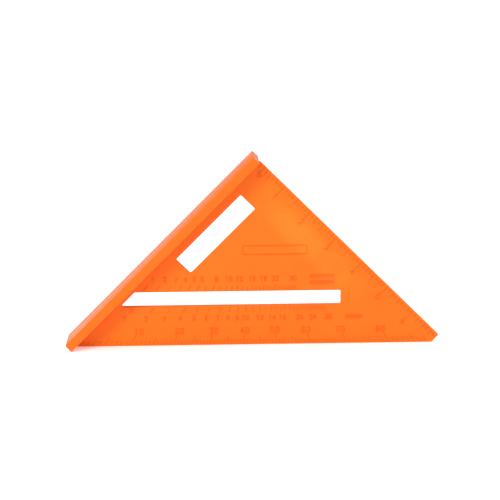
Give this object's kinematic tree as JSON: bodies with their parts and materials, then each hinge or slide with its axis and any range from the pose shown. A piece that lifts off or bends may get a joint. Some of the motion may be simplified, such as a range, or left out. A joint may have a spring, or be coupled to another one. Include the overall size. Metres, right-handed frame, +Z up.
{
  "type": "speed square",
  "caption": "Triangular plastic rafter square with a fence along one leg, two windows and raised degree, inch and rafter scales, for marking and guiding cuts in timber.",
  "frame": {"origin": "middle of the bottom of the tool's box, the tool standing on its degree edge", "axes": "+Z up, square to the degree edge towards the pivot corner; +X along the degree edge from the fence to the blunted tip; -Y out of the front face of the blade"},
  "size_m": [0.2608, 0.0286, 0.1351],
  "materials": {
    "orange_plastic": "moulded, fine satin gloss",
    "raised_marks": "moulded, same plastic as the blade, slightly polished by wear"
  },
  "bodies": {
    "root": {"blade": "orange_plastic", "fence": "orange_plastic", "front_degree_ticks": "raised_marks", "front_degree_numerals": "raised_marks", "front_common_ticks": "raised_marks", "front_common_numerals": "raised_marks", "front_hip_valley_ticks": "raised_marks", "front_hip_valley_numerals": "raised_marks", "front_inch_ticks": "raised_marks", "front_inch_numerals": "raised_marks", "front_pivot_mark": "raised_marks", "front_hip_label_bars": "raised_marks", "front_common_label_bar": "raised_marks", "front_label_frame": "raised_marks", "back_degree_ticks": "raised_marks", "back_degree_numerals": "raised_marks", "back_inch_ticks": "raised_marks", "back_inch_numerals": "raised_marks", "back_pivot_mark": "raised_marks"}
  },
  "joints": []
}
